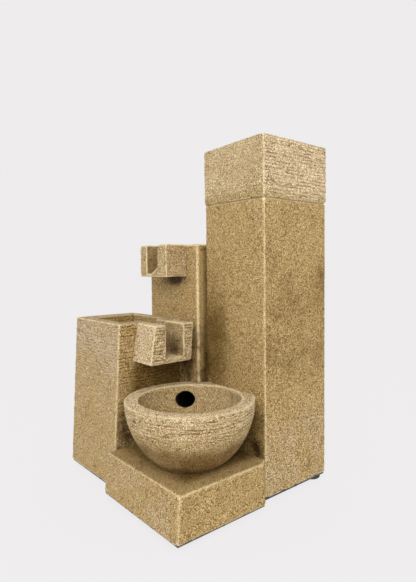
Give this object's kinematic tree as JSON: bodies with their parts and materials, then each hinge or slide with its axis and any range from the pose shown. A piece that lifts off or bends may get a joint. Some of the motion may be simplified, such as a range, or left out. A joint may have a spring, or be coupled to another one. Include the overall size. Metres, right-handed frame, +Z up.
{
  "type": "tabletop water fountain",
  "caption": "Cast-stone tabletop fountain: stepped square columns with open spouts feed a half-round bowl on a low base, with a small pump inside.",
  "frame": {"origin": "centre of the whole outline at the underside of the rubber feet", "axes": "+Z up; +X towards the tall column's side and away from the bowl; +Y towards the basin column at the back"},
  "size_m": [0.2008, 0.2224, 0.336],
  "materials": {
    "shaft_stone": "matt cast sandstone, yellow-brown, fine grained, darker where water runs",
    "pale_stone": "matt cast sandstone, pale and chiselled in rough courses",
    "black_plastic": "moulded black plastic, fine texture",
    "dark_plastic": "moulded dark grey plastic",
    "rubber": "soft dark rubber",
    "screw_steel": "zinc plated",
    "core_steel": "stacked laminations",
    "clear_vinyl": "clear soft vinyl, slightly cloudy",
    "copper_wire": "enamelled winding wire",
    "magnet_ceramic": "ferrite magnet with moulded white blades",
    "shaft_ceramic": "ground white ceramic",
    "foam": "open-cell grey foam"
  },
  "bodies": {
    "fountain": {"base_block": "shaft_stone", "bowl": "pale_stone", "tall_column": "shaft_stone", "column_cap": "pale_stone", "middle_column": "shaft_stone", "upper_spout": "pale_stone", "basin_column": "shaft_stone", "lower_spout": "pale_stone", "bottom_plate": "dark_plastic", "plate_screws": "screw_steel", "foot_front_left": "rubber", "foot_front_right": "rubber", "foot_back_left": "rubber", "foot_back_right": "rubber", "reservoir_tub": "black_plastic", "door_frame": "dark_plastic", "frame_screws": "screw_steel", "wall_grommet": "rubber", "drain_sleeve": "dark_plastic", "riser_tube": "clear_vinyl", "outlet_elbow": "black_plastic", "outlet_nozzle": "dark_plastic", "pump_body": "black_plastic", "motor_lid": "dark_plastic", "stator_core": "core_steel", "stator_coil": "copper_wire", "rotor_shaft": "shaft_ceramic", "front_bush": "rubber", "rear_bush": "rubber", "volute_cover": "dark_plastic", "intake_cage": "black_plastic", "filter_foam": "foam", "cord_gland": "rubber", "suction_cup_1": "rubber", "suction_cup_2": "rubber", "suction_cup_3": "rubber", "suction_cup_4": "rubber"},
    "door": {"access_door": "black_plastic"},
    "rotor": {"impeller": "magnet_ceramic"},
    "dial": {"flow_dial": "dark_plastic"}
  },
  "joints": [
    {"name": "door_hinge", "type": "hinge", "parent": "fountain", "child": "door", "pos_m": [0.0152, 0.07235, 0.12], "axis": [0, 0, 1], "range_deg": [0, 110]},
    {"name": "impeller_spin", "type": "hinge", "parent": "fountain", "child": "rotor", "pos_m": [0.0426, 0.02855, 0.0284], "axis": [1, 0, 0], "continuous": true},
    {"name": "flow_control", "type": "hinge", "parent": "fountain", "child": "dial", "pos_m": [0.0156, 0.02855, 0.0284], "axis": [1, 0, 0], "range_deg": [0, 45]}
  ]
}
